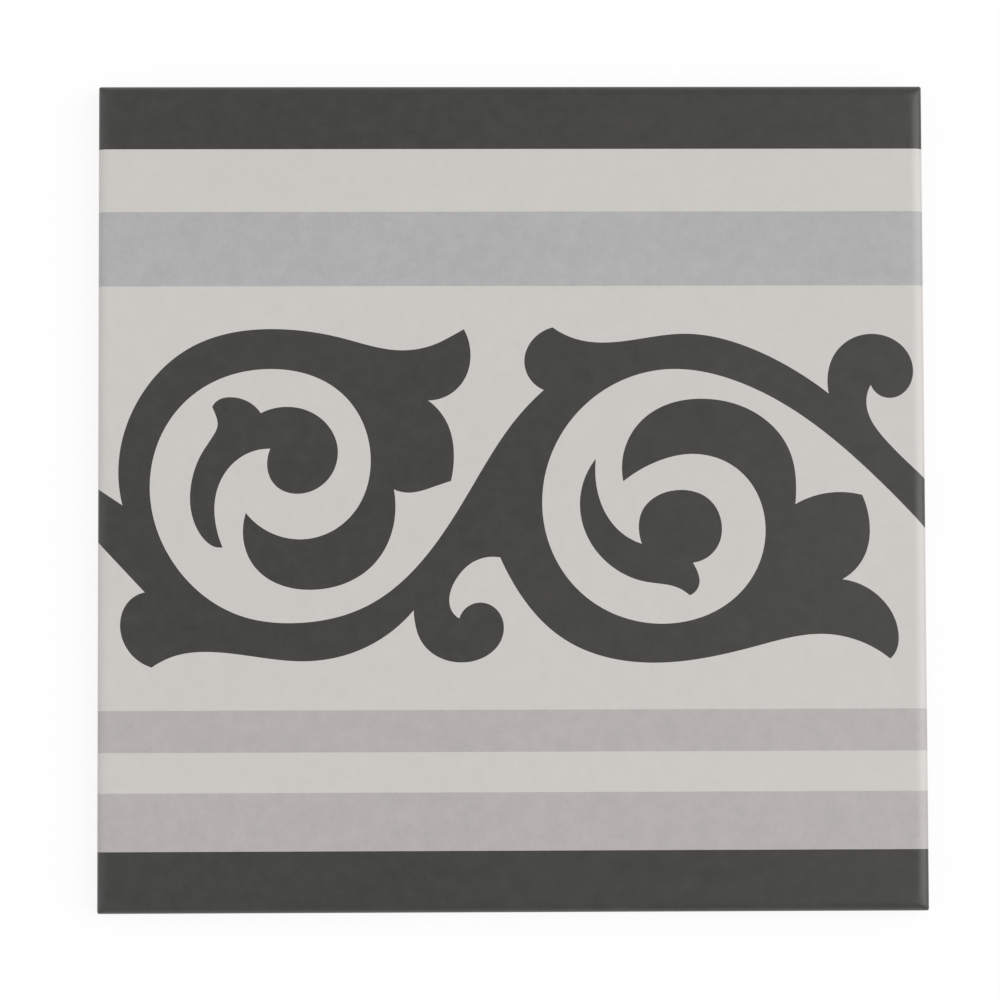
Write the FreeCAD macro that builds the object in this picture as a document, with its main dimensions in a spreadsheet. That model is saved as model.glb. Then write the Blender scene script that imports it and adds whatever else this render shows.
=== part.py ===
import FreeCAD, Part
import math
import os

import Sketcher

# A border tile: one square slab of pressed and fired clay, lying face up.
# The origin is the middle of the back, +Z points out of the face,
# +X runs along the border from tile to tile, and +Y points across it.

# Driving sizes: millimetres, degrees for the draft, and counts of cells.
SIZES = {
    "tile_width": 200.0,
    "tile_length": 200.0,
    "tile_thickness": 8.0,
    "face_edge_radius": 2.0,
    "back_bevel": 1.0,
    "corner_radius": 0.5,
    "key_margin": 5.0,
    "key_rib_width": 2.5,
    "key_depth": 0.5,
    "key_draft": 30.0,
    "key_cells_across": 10,
    "key_cells_along": 10,
}

# The back is keyed for adhesive: a rim, then sunk cells with ribs left between them.
# The cells share out what the rim leaves, so their size and pitch follow from the sheet.
RIM = "(Sizes.back_bevel + Sizes.key_margin)"
PITCH_ACROSS = f"((Sizes.tile_width - 2 * {RIM} + Sizes.key_rib_width) / Sizes.key_cells_across)"
PITCH_ALONG = f"((Sizes.tile_length - 2 * {RIM} + Sizes.key_rib_width) / Sizes.key_cells_along)"

TOLERANCE = 1e-6


def make_sheet(doc):
    sheet = doc.addObject("Spreadsheet::Sheet", "Sizes")
    for row, (name, value) in enumerate(SIZES.items(), start=1):
        sheet.set(f"A{row}", name.replace("_", " "))
        sheet.set(f"B{row}", str(value))
        sheet.setAlias(f"B{row}", name)
    doc.recompute()
    return sheet


def sketch_on_back(body, name):
    sketch = body.newObject("Sketcher::SketchObject", name)
    plane = next(f for f in body.Origin.OriginFeatures if f.Role == "XY_Plane")
    sketch.AttachmentSupport = [(plane, "")]
    sketch.MapMode = "FlatFace"
    return sketch


# A dimension of the sketch, tied to an expression on the sheet.
def bind(sketch, name, kind, *where, expression):
    index = sketch.addConstraint(Sketcher.Constraint(kind, *where, 1.0))
    sketch.renameConstraint(index, name)
    sketch.setExpression(f"Constraints.{name}", expression)


# Lines 0 to 3 of the rectangle run along its bottom, right, top and left.
def add_rectangle(sketch, width, length):
    corners = [FreeCAD.Vector(x, y, 0) for x, y in ((-1, -1), (1, -1), (1, 1), (-1, 1))]
    for start, end in zip(corners, corners[1:] + corners[:1]):
        sketch.addGeometry(Part.LineSegment(start, end))
    for line in range(4):
        sketch.addConstraint(Sketcher.Constraint("Coincident", line, 2, (line + 1) % 4, 1))
        sketch.addConstraint(Sketcher.Constraint(("Horizontal", "Vertical")[line % 2], line))
    bind(sketch, "width", "DistanceX", 0, 1, 0, 2, expression=width)
    bind(sketch, "length", "DistanceY", 1, 1, 1, 2, expression=length)


# A fillet or chamfer on the level edges of the slab at the given height.
def dress_rim(body, kind, name, base, height, size, expression):
    def level(edge):
        return abs(edge.BoundBox.ZMin - height) + abs(edge.BoundBox.ZMax - height) < TOLERANCE

    edges = [f"Edge{i}" for i, edge in enumerate(base.Shape.Edges, start=1) if level(edge)]
    feature = body.newObject(kind, name)
    feature.Base = (base, edges)
    feature.setExpression(size, expression)
    body.Document.recompute()
    return feature


# The slab with its rounded face edge and its bevelled back edge, mitred at the corners.
def make_slab(body):
    outline = sketch_on_back(body, "outline")
    add_rectangle(outline, "Sizes.tile_width", "Sizes.tile_length")
    outline.addConstraint(Sketcher.Constraint("Symmetric", 0, 1, 2, 1, -1, 1))

    slab = body.newObject("PartDesign::Pad", "slab")
    slab.Profile = outline
    slab.setExpression("Length", "Sizes.tile_thickness")
    body.Document.recompute()

    face_height = slab.Shape.BoundBox.ZMax
    face_edge = dress_rim(
        body, "PartDesign::Fillet", "face_edge", slab, face_height, "Radius", "Sizes.face_edge_radius"
    )
    return dress_rim(body, "PartDesign::Chamfer", "back_edge", face_edge, 0, "Size", "Sizes.back_bevel")


# The upright corners, rounded through the full thickness by trimming a sliver off each.
def make_corners(body, sheet):
    sketch = sketch_on_back(body, "corner_slivers")
    radius = float(sheet.corner_radius)
    for corner, (side_x, side_y) in enumerate(((1, 1), (-1, 1), (-1, -1), (1, -1))):
        tip = FreeCAD.Vector(side_x * sheet.tile_width / 2, side_y * sheet.tile_length / 2, 0)
        on_x = tip - FreeCAD.Vector(side_x * radius, 0, 0)
        on_y = tip - FreeCAD.Vector(0, side_y * radius, 0)
        centre = on_x - FreeCAD.Vector(0, side_y * radius, 0)
        circle = Part.Circle(centre, FreeCAD.Vector(0, 0, 1), radius)
        quarter = math.pi / 2
        level = sketch.addGeometry(Part.LineSegment(on_x, tip))
        upright = sketch.addGeometry(Part.LineSegment(tip, on_y))
        arc = sketch.addGeometry(Part.ArcOfCircle(circle, corner * quarter, (corner + 1) * quarter))
        arc_on_y, arc_on_x = (1, 2) if side_x == side_y else (2, 1)

        sketch.addConstraint(Sketcher.Constraint("Horizontal", level))
        sketch.addConstraint(Sketcher.Constraint("Vertical", upright))
        sketch.addConstraint(Sketcher.Constraint("Coincident", level, 2, upright, 1))
        sketch.addConstraint(Sketcher.Constraint("Coincident", level, 1, arc, arc_on_x))
        sketch.addConstraint(Sketcher.Constraint("Coincident", upright, 2, arc, arc_on_y))
        sketch.addConstraint(Sketcher.Constraint("Vertical", level, 1, arc, 3))
        sketch.addConstraint(Sketcher.Constraint("Horizontal", upright, 2, arc, 3))
        bind(sketch, f"round_{corner}", "Radius", arc, expression="Sizes.corner_radius")
        across = (-1, 1, level, 2) if side_x > 0 else (level, 2, -1, 1)
        along = (-1, 1, level, 2) if side_y > 0 else (level, 2, -1, 1)
        bind(sketch, f"across_{corner}", "DistanceX", *across, expression="Sizes.tile_width / 2")
        bind(sketch, f"along_{corner}", "DistanceY", *along, expression="Sizes.tile_length / 2")

    trim = body.newObject("PartDesign::Pocket", "corner_trim")
    trim.Profile = sketch
    trim.Type = "ThroughAll"
    trim.Reversed = True
    body.Document.recompute()
    return trim


# The sunk cells of the back, in rows both ways, with drafted walls that free the punch.
def make_keying(body):
    cell = sketch_on_back(body, "key_cell")
    add_rectangle(cell, f"{PITCH_ACROSS} - Sizes.key_rib_width", f"{PITCH_ALONG} - Sizes.key_rib_width")
    bind(cell, "from_left", "DistanceX", 0, 1, -1, 1, expression=f"Sizes.tile_width / 2 - {RIM}")
    bind(cell, "from_bottom", "DistanceY", 0, 1, -1, 1, expression=f"Sizes.tile_length / 2 - {RIM}")

    sunk = body.newObject("PartDesign::Pocket", "key_sunk")
    sunk.Profile = cell
    sunk.Reversed = True
    sunk.setExpression("Length", "Sizes.key_depth")
    sunk.setExpression("TaperAngle", "-Sizes.key_draft")
    body.Document.recompute()

    keying = body.newObject("PartDesign::LinearPattern", "keying")
    keying.Originals = [sunk]
    keying.Direction = (cell, ["H_Axis"])
    keying.Direction2 = (cell, ["V_Axis"])
    keying.Mode = "Extent"
    keying.Mode2 = "Extent"
    keying.setExpression("Occurrences", "Sizes.key_cells_across")
    keying.setExpression("Occurrences2", "Sizes.key_cells_along")
    keying.setExpression("Length", f"{PITCH_ACROSS} * (Sizes.key_cells_across - 1)")
    keying.setExpression("Length2", f"{PITCH_ALONG} * (Sizes.key_cells_along - 1)")
    body.Tip = keying
    body.Document.recompute()
    return sunk, keying


def check(doc, bodies):
    for item in doc.Objects:
        if {"Invalid", "Error"} & set(item.State):
            raise RuntimeError(f"{item.Label} failed: {item.State}")
    for body in bodies:
        if body.Shape.isNull() or not body.Shape.isValid() or len(body.Shape.Solids) != 1:
            raise RuntimeError(f"{body.Label} is not one valid solid")


def main():
    doc = FreeCAD.newDocument("border_tile")
    sheet = make_sheet(doc)

    tile = doc.addObject("PartDesign::Body", "tile")
    tile.Label = "tile"
    tile.Placement = FreeCAD.Placement()
    steps = [make_slab(tile), make_corners(tile, sheet), *make_keying(tile)]
    slab, trimmed, one_cell, keyed = [step.Shape.Volume for step in steps]
    cells = (trimmed - keyed) / max(trimmed - one_cell, TOLERANCE)
    if trimmed >= slab or round(cells) != sheet.key_cells_across * sheet.key_cells_along:
        raise RuntimeError(f"the corners or the keying are not all cut: {cells} cells")

    check(doc, [tile])
    os.makedirs("parts", exist_ok=True)
    tile.Shape.exportStep(f"parts/{tile.Label}.step")
    print(f"{tile.Label}: {keyed:.0f} mm3, {cells:.2f} cells, {len(tile.Shape.Faces)} faces")


main()
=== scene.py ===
import cmath
import math

import bmesh
import bpy
import numpy as np
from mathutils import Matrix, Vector
from mathutils.geometry import delaunay_2d_cdt


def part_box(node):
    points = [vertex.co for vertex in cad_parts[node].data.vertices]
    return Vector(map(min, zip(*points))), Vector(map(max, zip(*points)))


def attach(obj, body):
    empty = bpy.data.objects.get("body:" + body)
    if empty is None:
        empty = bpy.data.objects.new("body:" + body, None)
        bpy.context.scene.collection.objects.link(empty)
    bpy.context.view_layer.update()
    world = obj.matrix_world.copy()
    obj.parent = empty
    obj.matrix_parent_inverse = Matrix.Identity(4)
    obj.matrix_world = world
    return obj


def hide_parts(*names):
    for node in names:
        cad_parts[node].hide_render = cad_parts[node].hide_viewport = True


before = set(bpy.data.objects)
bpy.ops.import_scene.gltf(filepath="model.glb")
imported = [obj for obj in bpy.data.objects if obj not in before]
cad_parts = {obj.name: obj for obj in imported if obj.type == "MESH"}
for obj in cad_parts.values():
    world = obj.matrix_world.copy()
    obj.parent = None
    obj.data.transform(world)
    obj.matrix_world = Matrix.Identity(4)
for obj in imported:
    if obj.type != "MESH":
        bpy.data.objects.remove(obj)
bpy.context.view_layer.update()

mm = 0.001
_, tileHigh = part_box("tile")
halfWidth = tileHigh.x / mm
halfLength = tileHigh.y / mm
faceHeight = tileHigh.z / mm
print(f"frame: a tile of {2 * halfWidth:.1f} x {2 * halfLength:.1f} x {faceHeight:.1f} mm")

# The shape is in millimetres from the middle of the tile until the mesh is finished.
hair = 1e-4                  # places and heights that are nearer than this are the same
tileShape = {
    "edgeDrop": 2.0,         # rounded edge of the pressed face, down the wall
    "edgeWidth": 3.4,        # the same edge on the face, where the glaze starts it gently
    "edgeEase": 3,           # how gently: 2 is a plain ellipse
    "edgeSteps": 9,          # rings of faces round that edge
    "cornerRadius": 0.5,     # upright corners, seen from above
    "innerRadius": 3.2,      # the same corners where the rounded edge starts on the face
    "cornerSteps": 6,
    "backBevel": 1.0,
    "rimWidth": 5.0,         # plain rim of the back, inside the bevel
    "ribWidth": 2.5,
    "cells": (10, 10),
    "cellDepth": 0.5,
    "cellDraft": math.radians(30),
}

# Printed stripes from the far edge to the near edge, with their widths.
stripes = [
    ("dark", 15.5),
    ("pale", 15.3),
    ("upperGrey", 18.1),
    ("pale", 102.5),
    ("lowerGrey", 10.1),
    ("pale", 9.7),
    ("lowerGrey", 14.0),
    ("dark", 14.8),
]

# The scroll: each line is one smooth stroke, and strokes meet at corners.
# A stroke ends where the next one starts, and the last one closes the shape.
scroll = {
    "curveStep": 0.7,
    "fewestSteps": 2,        # between two points of a stroke
    "overrun": 1.5,          # the print runs past the edges of the tile and is cut there
    "runningStem": [
        [(-101.5, 3.1)],                                                     # stem, upper edge
        [(-94.0, -1.9), (-95.0, 6.7), (-89.6, 24.6), (-77.4, 36.4), (-57.4, 40.7),
         (-41.1, 38.5), (-27.0, 35.5), (-18.0, 37.2), (-14.8, 38.8)],        # left ring, outside
        [(-11.6, 40.6), (-10.0, 34.2), (-12.4, 27.1)],                       # upper leaf
        [(-20.3, 23.3), (-15.6, 17.6), (-14.1, 9.7)],                        # lobe below it
        [(-14.8, 3.8), (-19.0, 2.4), (-25.5, 1.0)],                          # foot of the lobe
        [(-28.6, 1.8), (-28.4, -5.1), (-33.7, -16.5), (-48.5, -22.4),
         (-62.1, -16.9), (-65.0, -8.1)],                                     # left curl, outside
        [(-64.3, -3.8), (-57.4, -9.0), (-50.7, -10.2), (-39.5, -5.2), (-34.2, 9.7),
         (-41.4, 25.3), (-58.2, 31.0), (-77.4, 24.5), (-87.4, 3.8), (-80.2, -17.9),
         (-65.0, -28.8), (-53.0, -30.4), (-34.9, -26.2), (-20.8, -14.2),
         (-9.5, 2.8), (1.3, 19.2)],                                          # left ring, inside
        [(7.7, 25.8), (3.0, 32.7), (5.2, 38.2)],                             # shoulder
        [(9.9, 41.0), (15.8, 38.1), (22.5, 37.3), (41.8, 39.4), (56.8, 36.3),
         (67.3, 31.2)],                                                      # right ring, outside
        [(76.7, 24.8), (76.4, 28.3), (78.6, 35.0), (87.1, 39.3), (97.2, 30.5),
         (91.5, 23.7)],                                                      # upper hook, outside
        [(86.9, 26.9), (85.8, 22.7), (90.5, 13.4), (100.0, 4.0)],            # upper hook, inside
        [(101.5, 2.6)],                                                      # cut edge
        [(101.5, -9.7), (87.1, 5.3), (70.7, 19.1), (53.1, 28.3), (38.1, 30.8),
         (20.3, 24.4), (7.2, -2.2), (16.2, -23.0), (36.6, -30.8), (56.6, -21.4),
         (61.1, -7.4), (55.7, 5.4), (44.1, 10.2), (35.0, 8.4)],              # right ring, inside
        [(26.8, 3.6), (26.5, 7.5), (31.9, 18.9), (46.3, 23.6), (61.4, 18.4),
         (67.1, 10.9), (68.6, 1.5)],                                         # right curl, outside
        [(68.4, -2.0), (79.0, 0.9)],                                         # lobe, top
        [(84.6, 0.2), (86.3, -6.6), (85.3, -13.9)],                          # lobe, side
        [(79.6, -20.2), (89.4, -25.3), (93.1, -34.0), (92.5, -37.4)],        # lower leaf
        [(91.0, -39.4), (84.1, -35.3), (75.3, -33.4), (58.9, -36.2), (33.7, -40.2),
         (11.8, -34.1), (0.6, -21.7)],                                       # right ring, foot
        [(-3.0, -14.7), (-10.6, -16.5), (-13.3, -19.4), (-15.3, -25.2),
         (-14.8, -27.4)],                                                    # lower hook, inside
        [(-12.9, -29.4), (-7.4, -25.6), (-2.2, -31.1), (-12.1, -40.0),
         (-22.4, -34.3), (-23.5, -30.9)],                                    # lower hook, outside
        [(-23.9, -27.4), (-37.3, -37.1), (-50.0, -39.6), (-61.9, -38.5),
         (-73.0, -37.3), (-80.1, -37.9)],                                    # left ring, foot
        [(-86.9, -41.0), (-92.0, -37.6), (-94.5, -30.8), (-92.1, -24.7)],    # left lobe
        [(-88.6, -22.9)],                                                    # stem, lower edge
        [(-101.5, -9.1)],                                                    # cut edge
    ],
    "leftBud": [
        [(-72.4, 21.8), (-71.5, 23.1), (-68.2, 24.2), (-64.8, 23.6),
         (-62.5, 22.3)],                                                     # crest
        [(-60.7, 20.3), (-53.3, 21.8), (-44.9, 17.8), (-42.1, 10.5), (-51.3, 0.8),
         (-57.6, 3.3), (-59.1, 9.0)],                                        # round head
        [(-58.4, 11.7), (-64.8, 10.1), (-71.6, 0.1), (-71.3, -7.7)],         # tail, inside
        [(-69.9, -12.1), (-72.0, -11.9), (-73.8, -10.7), (-76.1, -7.5), (-77.4, -3.7),
         (-77.2, 4.6), (-75.2, 10.1), (-72.1, 15.0), (-71.1, 17.5),
         (-71.5, 19.7)],                                                     # tail, outside
    ],
    "rightBud": [
        [(20.2, 9.1), (16.3, -2.5), (19.2, -11.8), (27.0, -18.9), (31.3, -20.5),
         (35.9, -21.2), (39.5, -22.0)],                                      # leaf, outside
        [(42.7, -24.0), (45.1, -20.7), (44.7, -18.5)],                       # foot of the leaf
        [(43.5, -16.1), (49.1, -12.8), (50.4, -9.8), (50.5, -6.6), (47.3, -0.6),
         (40.7, 1.5), (33.5, -0.9), (31.3, -3.6), (30.5, -7.0)],             # round head
        [(31.2, -11.5), (25.3, -7.9), (20.3, 2.7)],                          # leaf, inside
    ],
}


def handleReach(out, back):
    # how far a curve's handle reaches, as a share of its chord, from its two turning angles
    damping = 1 / 16
    golden = (math.sqrt(5) - 1) / 2
    leaving = math.sin(out) - damping * math.sin(back)
    arriving = math.sin(back) - damping * math.sin(out)
    bend = math.sqrt(2) * leaving * arriving * (math.cos(out) - math.cos(back))
    return (2 + bend) / (3 * (1 + golden * math.cos(out) + (1 - golden) * math.cos(back)))


def smoothStroke(points):
    # one round, even curve through all the points, without its last point
    knots = [complex(x, y) for x, y in points]
    spans = [b - a for a, b in zip(knots, knots[1:])]
    count = len(spans)
    if count == 1:
        return [points[0]]

    # the angle at which the curve leaves each point, so that its bends match there
    turns = [cmath.phase(b / a) for a, b in zip(spans, spans[1:])] + [0.0]
    pull = [1 / abs(span) for span in spans]
    balance = np.zeros((count + 1, count + 1))
    wanted = np.zeros(count + 1)
    balance[0, :2] = 1
    wanted[0] = -turns[0]
    balance[count, count - 1:] = 1
    for k in range(1, count):
        balance[k, k - 1:k + 2] = pull[k - 1], 2 * (pull[k - 1] + pull[k]), pull[k]
        wanted[k] = -2 * turns[k - 1] * pull[k - 1] - turns[k] * pull[k]
    leaving = np.linalg.solve(balance, wanted)

    curve = []
    for k, span in enumerate(spans):
        start, end = knots[k], knots[k + 1]
        out = leaving[k]
        back = -turns[k] - leaving[k + 1]
        first = start + span * cmath.exp(1j * out) * handleReach(out, back)
        second = end - span * cmath.exp(-1j * back) * handleReach(back, out)
        steps = max(scroll["fewestSteps"], math.ceil(abs(span) / scroll["curveStep"]))
        for i in range(steps):
            t = i / steps
            u = 1 - t
            p = u**3 * start + 3 * u * u * t * first + 3 * u * t * t * second + t**3 * end
            curve.append((p.real, p.imag))
    return curve


def scrollLoop(strokes):
    loop = []
    for stroke, following in zip(strokes, strokes[1:] + strokes[:1]):
        loop += smoothStroke(stroke + following[:1])
    return loop


# The outline seen from above shrinks inwards as a set of rings,
# and its corners grow rounder on the way by this much for each millimetre.
ringGrowth = (tileShape["innerRadius"] - tileShape["cornerRadius"]) / tileShape["edgeWidth"]


def tileOutline(inset):
    # the ring at this inset, anticlockwise from the right
    radius = tileShape["cornerRadius"] + ringGrowth * inset
    steps = tileShape["cornerSteps"]
    points = []
    for corner, (sideX, sideY) in enumerate([(1, 1), (-1, 1), (-1, -1), (1, -1)]):
        middleX = sideX * (halfWidth - inset - radius)
        middleY = sideY * (halfLength - inset - radius)
        for i in range(steps + 1):
            angle = math.pi / 2 * (corner + i / steps)
            points.append((middleX + radius * math.cos(angle),
                           middleY + radius * math.sin(angle)))
    return points


def outwards(x, y):
    # the ring through a point: its inset, the level direction out,
    # and how fast the inset changes that way
    radius, shift = tileShape["cornerRadius"], 1 + ringGrowth
    inX, inY = halfWidth - abs(x), halfLength - abs(y)
    inset = min(inX, inY)
    if max(inX, inY) >= radius + shift * inset:
        alongX = Vector((math.copysign(1, x), 0, 0))
        alongY = Vector((0, math.copysign(1, y), 0))
        return inset, alongX if inX < inY else alongY, 1.0

    # on the round of a corner, where the ring is found from its circle
    square = 2 * shift**2 - ringGrowth**2
    linear = shift * (2 * radius - inX - inY) - ringGrowth * radius
    constant = radius**2 - 2 * radius * (inX + inY) + inX**2 + inY**2
    inset = (math.sqrt(max(linear**2 - square * constant, 0)) - linear) / square
    middle = radius + shift * inset
    level = Vector((math.copysign(middle - inX, x), math.copysign(middle - inY, y), 0))
    level.normalize()
    return inset, level, 1 / (shift * (abs(level.x) + abs(level.y)) - ringGrowth)


def rollOver(x, y):
    # the pressed face at its rounded edge: how far it has dropped, and the direction it faces
    inset, level, rate = outwards(x, y)
    width, drop, ease = tileShape["edgeWidth"], tileShape["edgeDrop"], tileShape["edgeEase"]
    share = min(max(1 - inset / width, 0), 1)
    height = math.sqrt(1 - share**ease)
    across = ease / 2 * share**(ease - 1) * drop * rate
    facing = level * across + Vector((0, 0, height * width))
    return drop * (1 - height), facing.normalized()


class Drawing:
    # flat shapes and lines that are cut into triangles together
    insideOnly = 1           # the cutter's mode that leaves out what no shape covers
    nearness = 1e-5          # points that are closer than this become one

    def __init__(self):
        self.points, self.lines, self.shapes = [], [], []

    def addPoints(self, loop):
        first = len(self.points)
        self.points += [Vector(p) for p in loop]
        return list(range(first, len(self.points)))

    def addShape(self, loop):
        area = sum(a[0] * b[1] - b[0] * a[1] for a, b in zip(loop, loop[1:] + loop[:1]))
        ids = self.addPoints(loop if area > 0 else loop[::-1])
        self.shapes.append(ids)
        return len(self.shapes) - 1

    def addRing(self, loop):
        ids = self.addPoints(loop)
        self.lines += list(zip(ids, ids[1:] + ids[:1]))

    def cut(self):
        points, _, triangles, sources, _, owners = delaunay_2d_cdt(
            self.points, self.lines, self.shapes, self.insideOnly, self.nearness)
        return points, triangles, sources, owners


finishes = ["dark", "pale", "upperGrey", "lowerGrey", "biscuit"]


def addPrintedFace(mesh):
    drawing = Drawing()
    outline = drawing.addShape(tileOutline(0))
    for i in range(tileShape["edgeSteps"]):
        lean = math.pi / 2 * i / tileShape["edgeSteps"]
        drawing.addRing(tileOutline(tileShape["edgeWidth"] * (1 - math.sin(lean))))

    finishOf = {}
    overrun = scroll["overrun"]
    reach = halfWidth + overrun
    far = halfLength
    for finish, width in stripes:
        near = far - width
        top = far + overrun if far == halfLength else far
        bottom = near - overrun if near < hair - halfLength else near
        corners = [(-reach, bottom), (reach, bottom), (reach, top), (-reach, top)]
        finishOf[drawing.addShape(corners)] = finish
        far = near
    for name in ("runningStem", "leftBud", "rightBud"):
        finishOf[drawing.addShape(scrollLoop(scroll[name]))] = "dark"

    # a triangle takes the finish of the last shape drawn over it
    points, triangles, _, owners = drawing.cut()
    made = {}
    for triangle, shapes in zip(triangles, owners):
        if outline not in shapes:
            continue
        for i in triangle:
            if i not in made:
                x, y = points[i]
                made[i] = mesh.verts.new((x, y, faceHeight - rollOver(x, y)[0]))
        face = mesh.faces.new([made[i] for i in triangle])
        face.material_index = finishes.index(finishOf[max(shapes)])
    print(f"printed face: {len(mesh.faces)} triangles")


def addSides(mesh):
    # the upright wall keeps the print's run-over, then the bevel turns in to the back
    # and draws each rounded corner together into one point
    bevel = tileShape["backBevel"]
    rim = []
    for edge in mesh.edges:
        if edge.is_boundary:
            loop = edge.link_loops[0]
            rim.append((loop.vert, loop.link_loop_next.vert, loop.face.material_index))
    for height, inset in ((bevel, 0.0), (0.0, bevel)):
        lower = {}
        for k, (start, end, finish) in enumerate(rim):
            below = []
            for vert in (start, end):
                x = max(min(vert.co.x, halfWidth - inset), inset - halfWidth)
                y = max(min(vert.co.y, halfLength - inset), inset - halfLength)
                place = round(x / hair), round(y / hair)
                if place not in lower:
                    lower[place] = mesh.verts.new((x, y, height))
                below.append(lower[place])
            face = mesh.faces.new(list(dict.fromkeys([end, start, *below])))
            face.material_index = finish if inset == 0 else finishes.index("biscuit")
            rim[k] = (*below, finish)
    print("sides: wall and bevel")


def addBack(mesh):
    # the keyed back: a rim, then sunk cells with sloping walls and ribs between
    rim = [v for v in mesh.verts if v.co.z < hair]
    rim.sort(key=lambda v: math.atan2(v.co.y, v.co.x))
    drawing = Drawing()
    drawing.addShape([(v.co.x, v.co.y) for v in rim])
    known = dict(enumerate(rim))

    edge = tileShape["backBevel"] + tileShape["rimWidth"]
    rib, depth = tileShape["ribWidth"], tileShape["cellDepth"]
    slope = depth * math.tan(tileShape["cellDraft"])
    across, along = tileShape["cells"]
    pitchX = (2 * (halfWidth - edge) + rib) / across
    pitchY = (2 * (halfLength - edge) + rib) / along
    for i in range(across):
        for j in range(along):
            lowX = edge - halfWidth + i * pitchX
            lowY = edge - halfLength + j * pitchY
            highX, highY = lowX + pitchX - rib, lowY + pitchY - rib
            for inset, height in ((0.0, 0.0), (slope, depth)):
                corners = [(lowX + inset, lowY + inset), (highX - inset, lowY + inset),
                           (highX - inset, highY - inset), (lowX + inset, highY - inset)]
                first = len(drawing.points)
                drawing.addRing(corners)
                for k, (x, y) in enumerate(corners):
                    known[first + k] = mesh.verts.new((x, y, height))

    _, triangles, sources, _ = drawing.cut()
    for triangle in triangles:
        face = mesh.faces.new([known[sources[i][0]] for i in reversed(triangle)])
        face.material_index = finishes.index("biscuit")
    print(f"back: {across * along} sunk cells")


def buildTile():
    mesh = bmesh.new()
    addPrintedFace(mesh)
    addSides(mesh)
    addBack(mesh)
    bmesh.ops.recalc_face_normals(mesh, faces=mesh.faces)

    # the face and wall shade as one rounded form, and the bevel and back stay crisp
    normals = []
    for face in mesh.faces:
        lowest = min(v.co.z for v in face.verts)
        for loop in face.loops:
            x, y, _ = loop.vert.co
            if lowest > faceHeight - tileShape["edgeDrop"] - hair:
                normals.append(rollOver(x, y)[1])
            elif lowest > tileShape["backBevel"] - hair:
                normals.append(outwards(x, y)[1])
            else:
                normals.append(face.normal.copy())
        face.smooth = True

    for vert in mesh.verts:
        vert.co *= mm
    data = bpy.data.meshes.new("borderTile")
    mesh.to_mesh(data)
    mesh.free()
    data.normals_split_custom_set(normals)
    piece = bpy.data.objects.new("borderTile", data)
    bpy.context.scene.collection.objects.link(piece)
    return piece


class Wire:
    # a socket of a node tree that can be used in sums

    def __init__(self, tree, socket=None):
        self.tree, self.socket = tree, socket

    def node(self, kind, settings=None, inputs=None, output=0):
        made = self.tree.nodes.new(kind)
        for name, value in (settings or {}).items():
            setattr(made, name, value)
        for name, value in (inputs or {}).items():
            if isinstance(value, Wire):
                self.tree.links.new(value.socket, made.inputs[name])
            else:
                made.inputs[name].default_value = value
        return Wire(self.tree, made.outputs[output]) if made.outputs else made

    def into(self, shader, name):
        self.tree.links.new(self.socket, shader.inputs[name])

    def maths(self, operation, *values):
        return self.node("ShaderNodeMath", {"operation": operation}, dict(enumerate(values)))

    def __add__(self, other):
        return self.maths("ADD", self, other)

    def __radd__(self, other):
        return self.maths("ADD", other, self)

    def __sub__(self, other):
        return self.maths("SUBTRACT", self, other)

    def __rsub__(self, other):
        return self.maths("SUBTRACT", other, self)

    def __mul__(self, other):
        return self.maths("MULTIPLY", self, other)

    def __rmul__(self, other):
        return self.maths("MULTIPLY", other, self)

    def held(self):
        # kept between 0 and 1
        return self.node("ShaderNodeClamp", None, {"Value": self})

    def swing(self):
        # a noise, as it goes either way from its middle
        return self - 0.5

    def mix(self, low, high):
        settings = {"data_type": "RGBA", "clamp_factor": True}
        return self.node("ShaderNodeMix", settings, {"Factor": self, "A": low, "B": high}, 2)

    def noise(self, coords, size, detail=2.0, roughness=0.5):
        inputs = {"Vector": coords, "Scale": 1 / size, "Detail": detail, "Roughness": roughness}
        return self.node("ShaderNodeTexNoise", None, inputs)


def fromScreen(red, green, blue, gain=1.0):
    # a colour as a screen shows it, turned into light by the usual curve of screens
    def light(value):
        value /= 255
        return value / 12.92 if value <= 0.04045 else ((value + 0.055) / 1.055) ** 2.4
    return tuple(min(light(v) * gain, 1.0) for v in (red, green, blue)) + (1.0,)


biscuit = {
    "colour": (206, 199, 187),
    "cloudSize": 6 * mm,
    "cloudGains": (0.88, 1.06),     # where the cloud of tone is darkest and lightest
    "speckColour": (176, 164, 148),
    "speckSize": 0.35 * mm,
    "speckStart": 0.62,             # level of the noise at which a grain begins to show
    "speckSteepness": 9,
    "speckShare": 0.55,             # the most that a grain hides of the clay round it
    "roughness": 0.86,
    "roughnessSwing": 0.12,
    "lumpSize": 1.1 * mm,
    "grainRelief": 0.4,             # height of the grains, against 1 for the lumps
    "reliefDepth": 0.06 * mm,
    "reliefStrength": 0.35,
}

inks = {
    "dark": {"colour": (40, 39, 34), "mottle": 0.95},
    "pale": {"colour": (199, 196, 192), "mottle": 0.08},
    "upperGrey": {"colour": (169, 169, 169), "mottle": 0.23},
    "lowerGrey": {"colour": (175, 170, 167), "mottle": 0.20},
}

glaze = {
    "lineHeight": 5.3 * mm,         # where the print's run-over stops on the wall
    "lineWander": 1.2 * mm,
    "wanderSize": 4 * mm,
    "lineSoftness": 0.25 * mm,
    "mottleSize": 4.4 * mm,
    "grainSize": 0.55 * mm,
    "driftSize": 55 * mm,           # slow change of tone over the whole tile
    "mottleShare": 0.7,
    "grainShare": 0.12,
    "driftShare": 0.18,
    "roughness": 0.36,
    "roughnessSwing": 0.10,
    "shine": 0.75,
    "peelSize": 1.4 * mm,
    "grainRelief": 0.35,            # height of the grain, against 1 for the peel
    "reliefDepth": 0.03 * mm,
    "reliefStrength": 0.12,
}


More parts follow.
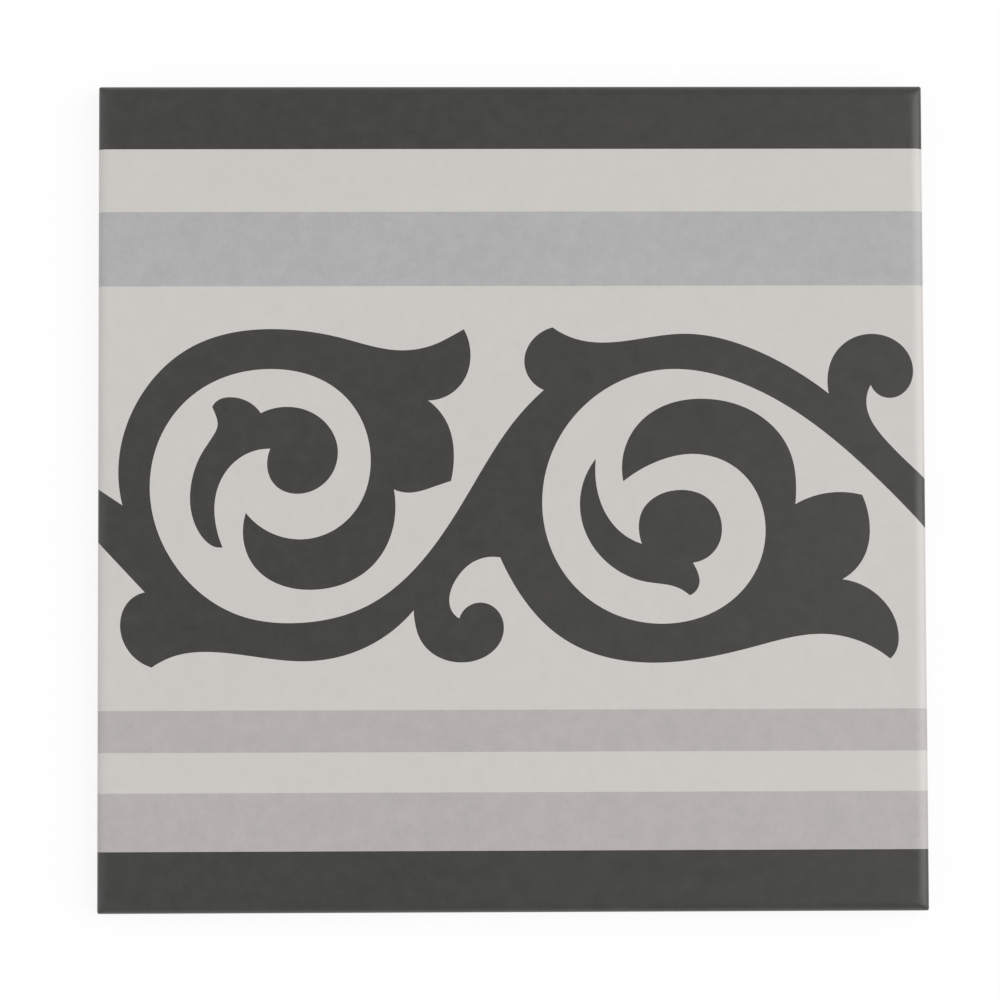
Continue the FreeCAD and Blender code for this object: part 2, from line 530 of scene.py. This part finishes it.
def startMaterial(name):
    material = bpy.data.materials.new(name)
    material.use_nodes = True
    tree = material.node_tree
    shader = next(n for n in tree.nodes if n.type == "BSDF_PRINCIPLED")
    wire = Wire(tree)
    coords = wire.node("ShaderNodeTexCoord", output="Object")
    return material, shader, wire, coords


def addRelief(shader, height, settings):
    inputs = {"Strength": settings["reliefStrength"], "Distance": settings["reliefDepth"],
              "Height": height}
    height.node("ShaderNodeBump", None, inputs).into(shader, "Normal")


def bodyColour(wire, coords):
    # pressed clay: a soft cloud of tone with fine darker grains in it
    cloud = wire.noise(coords, biscuit["cloudSize"], detail=4.0, roughness=0.6)
    grains = wire.noise(coords, biscuit["speckSize"])
    speck = ((grains - biscuit["speckStart"]) * biscuit["speckSteepness"]).held()
    tone = cloud.mix(*[fromScreen(*biscuit["colour"], gain=g) for g in biscuit["cloudGains"]])
    colour = (speck * biscuit["speckShare"]).mix(tone, fromScreen(*biscuit["speckColour"]))
    return colour, grains


def biscuitMaterial():
    material, shader, wire, coords = startMaterial("biscuit")
    colour, grains = bodyColour(wire, coords)
    colour.into(shader, "Base Color")
    rough = biscuit["roughness"] + grains.swing() * biscuit["roughnessSwing"]
    rough.into(shader, "Roughness")
    lumps = wire.noise(coords, biscuit["lumpSize"], detail=3.0, roughness=0.6)
    addRelief(shader, grains * biscuit["grainRelief"] + lumps, biscuit)
    return material


def inkMaterial(name):
    ink = inks[name]
    material, shader, wire, coords = startMaterial(name + "Glaze")
    mottle = wire.noise(coords, glaze["mottleSize"], detail=4.0, roughness=0.85)
    grain = wire.noise(coords, glaze["grainSize"], detail=1.0)
    drift = wire.noise(coords, glaze["driftSize"], detail=1.0)
    spread = mottle * glaze["mottleShare"] + grain * glaze["grainShare"]
    spread = (spread + drift * glaze["driftShare"]).held()
    printed = spread.mix(fromScreen(*ink["colour"], gain=1 - ink["mottle"]),
                         fromScreen(*ink["colour"], gain=1 + ink["mottle"]))

    # the print runs a little way down the wall and stops at an uneven line
    height = wire.node("ShaderNodeSeparateXYZ", None, {0: coords}, "Z")
    wander = wire.noise(coords, glaze["wanderSize"], detail=3.0, roughness=0.6)
    above = height - (glaze["lineHeight"] + wander.swing() * glaze["lineWander"])
    covered = (above * (1 / glaze["lineSoftness"]) + 0.5).held()
    body, _ = bodyColour(wire, coords)
    covered.mix(body, printed).into(shader, "Base Color")

    shader.inputs["Specular IOR Level"].default_value = glaze["shine"]
    smoother = biscuit["roughness"] - glaze["roughness"]
    rough = biscuit["roughness"] - covered * smoother + mottle.swing() * glaze["roughnessSwing"]
    rough.into(shader, "Roughness")
    peel = wire.noise(coords, glaze["peelSize"])
    addRelief(shader, peel + grain * glaze["grainRelief"], glaze)
    return material


tile = buildTile()
for finish in finishes:
    tile.data.materials.append(biscuitMaterial() if finish == "biscuit" else inkMaterial(finish))
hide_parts("tile")
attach(tile, "root")
print(f"tile: {len(tile.data.polygons)} faces, {len(finishes)} finishes")

white = (1.0, 1.0, 1.0, 1.0)
studio = {
    "floorSize": 6.0,
    "floorDrop": 0.2 * mm,                     # just clear of the back of the tile
    "floorColour": white,                      # as the camera sees its shade
    "floorBounce": (0.60, 0.60, 0.60, 1.0),    # as it lights the tile
    "floorWhite": 0.84,                        # share of plain white over that shade
    "skyHorizon": 0.85,
    "skyZenith": 0.42,
}

# places, sizes across and from low to high, and powers of the lamps
lamps = {
    "sideSoftbox": {"place": (2.75, 0.0, 2.55), "size": (3.6, 4.65), "power": 85.0},
    "fillSoftbox": {"place": (-0.6, 0.0, 0.6), "size": (1.2, 1.0), "power": 1.2},
}


def seenDirectly(wire):
    # 1 where the camera, a reflection or clear glass looks at the backdrop
    path = wire.node("ShaderNodeLightPath", output="Is Camera Ray")
    sockets = path.socket.node.outputs
    glossy = Wire(wire.tree, sockets["Is Glossy Ray"])
    clear = Wire(wire.tree, sockets["Is Transmission Ray"])
    return (path + glossy + clear).held()


def addFloor():
    half = studio["floorSize"] / 2
    corners = [(-half, -half), (half, -half), (half, half), (-half, half)]
    data = bpy.data.meshes.new("floor")
    data.from_pydata([(x, y, -studio["floorDrop"]) for x, y in corners], [], [(0, 1, 2, 3)])
    floor = bpy.data.objects.new("floor", data)
    bpy.context.scene.collection.objects.link(floor)
    material = bpy.data.materials.new("floorWhite")
    material.use_nodes = True
    tree = material.node_tree
    tree.nodes.clear()
    wire = Wire(tree)
    bounce = wire.node("ShaderNodeBsdfDiffuse", None, {"Color": studio["floorBounce"]})
    shade = wire.node("ShaderNodeBsdfDiffuse", None, {"Color": studio["floorColour"]})
    plain = wire.node("ShaderNodeEmission", None, {"Color": white, "Strength": 1.0})
    backdrop = wire.node("ShaderNodeMixShader", None,
                         {0: studio["floorWhite"], 1: shade, 2: plain})
    surface = wire.node("ShaderNodeMixShader", None,
                        {0: seenDirectly(wire), 1: bounce, 2: backdrop})
    wire.node("ShaderNodeOutputMaterial", None, {"Surface": surface})
    data.materials.append(material)


def addSky():
    # an even white sky, dimmer overhead than low down
    world = bpy.data.worlds.new("studioSky")
    bpy.context.scene.world = world
    world.use_nodes = True
    tree = world.node_tree
    tree.nodes.clear()
    wire = Wire(tree)
    direction = wire.node("ShaderNodeTexCoord", output="Generated")
    upwards = wire.node("ShaderNodeSeparateXYZ", None, {0: direction}, "Z").held()
    lowness = wire.maths("SQRT", 1 - upwards)
    zenith = wire.node("ShaderNodeBackground", None,
                       {"Color": white, "Strength": studio["skyZenith"]})
    horizon = wire.node("ShaderNodeBackground", None,
                        {"Color": white, "Strength": studio["skyHorizon"]})
    sky = wire.node("ShaderNodeMixShader", None, {0: lowness, 1: zenith, 2: horizon})
    wire.node("ShaderNodeOutputWorld", None, {"Surface": sky})


def addLamp(name):
    data = bpy.data.lights.new(name, "AREA")
    data.shape = "RECTANGLE"
    data.size, data.size_y = lamps[name]["size"]
    data.energy = lamps[name]["power"]
    lamp = bpy.data.objects.new(name, data)
    lamp.location = lamps[name]["place"]
    lamp.rotation_euler = (-lamp.location).to_track_quat("-Z", "Y").to_euler()
    bpy.context.scene.collection.objects.link(lamp)


addFloor()
addSky()
for name in lamps:
    addLamp(name)
print("studio: floor, sky and a soft lamp on each side")

camera = {
    "place": (-0.02115, -0.06272, 1.0),
    "turn": (math.radians(3.573), math.radians(-1.035), math.radians(-0.208)),
    "lens": 148.28,
    "sensor": 36.0,
}
cameraData = bpy.data.cameras.new("camera")
cameraData.sensor_width = camera["sensor"]
cameraData.lens = camera["lens"]
cameraObject = bpy.data.objects.new("camera", cameraData)
cameraObject.location = camera["place"]
cameraObject.rotation_euler = camera["turn"]
bpy.context.scene.collection.objects.link(cameraObject)
bpy.context.scene.camera = cameraObject
bpy.context.scene.view_settings.view_transform = "Standard"
print("camera: straight above, tipped a little")
